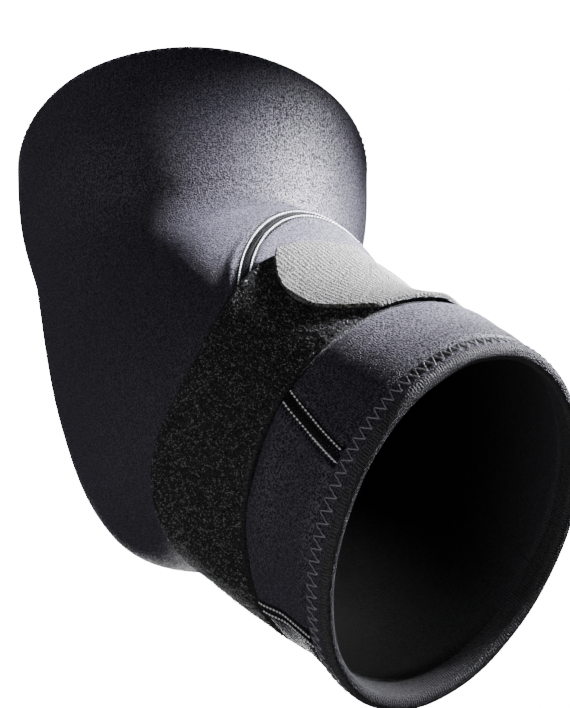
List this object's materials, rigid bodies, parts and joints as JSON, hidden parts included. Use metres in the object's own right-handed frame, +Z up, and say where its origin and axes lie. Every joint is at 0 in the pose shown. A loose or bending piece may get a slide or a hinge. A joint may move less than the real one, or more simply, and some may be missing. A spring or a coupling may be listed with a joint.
{
  "type": "elbow brace",
  "caption": "Neoprene elbow sleeve in its worn, bent form, with a let-in forearm panel, a bound hand-side mouth and a pile strap closed by a hook tab.",
  "frame": {"origin": "the elbow point, where the middle lines of the upper arm and the forearm cross", "axes": "+Z up along the upper arm, +X towards the crook of the elbow, -Y towards the outer side, where the tab's tongue ends"},
  "size_m": [0.1633, 0.1066, 0.1934],
  "materials": {
    "neoprene": "fine knit over foam rubber, soft sheen",
    "binding": "ribbed stretch binding",
    "pile": "brushed loop pile, matt",
    "hook_tape": "ribbed knit back of a hook tab, matt"
  },
  "bodies": {
    "root": {"sleeve_body": "neoprene", "forearm_panel": "neoprene", "forearm_hem": "binding", "strap_band": "pile", "strap_tab": "hook_tape"}
  },
  "joints": []
}
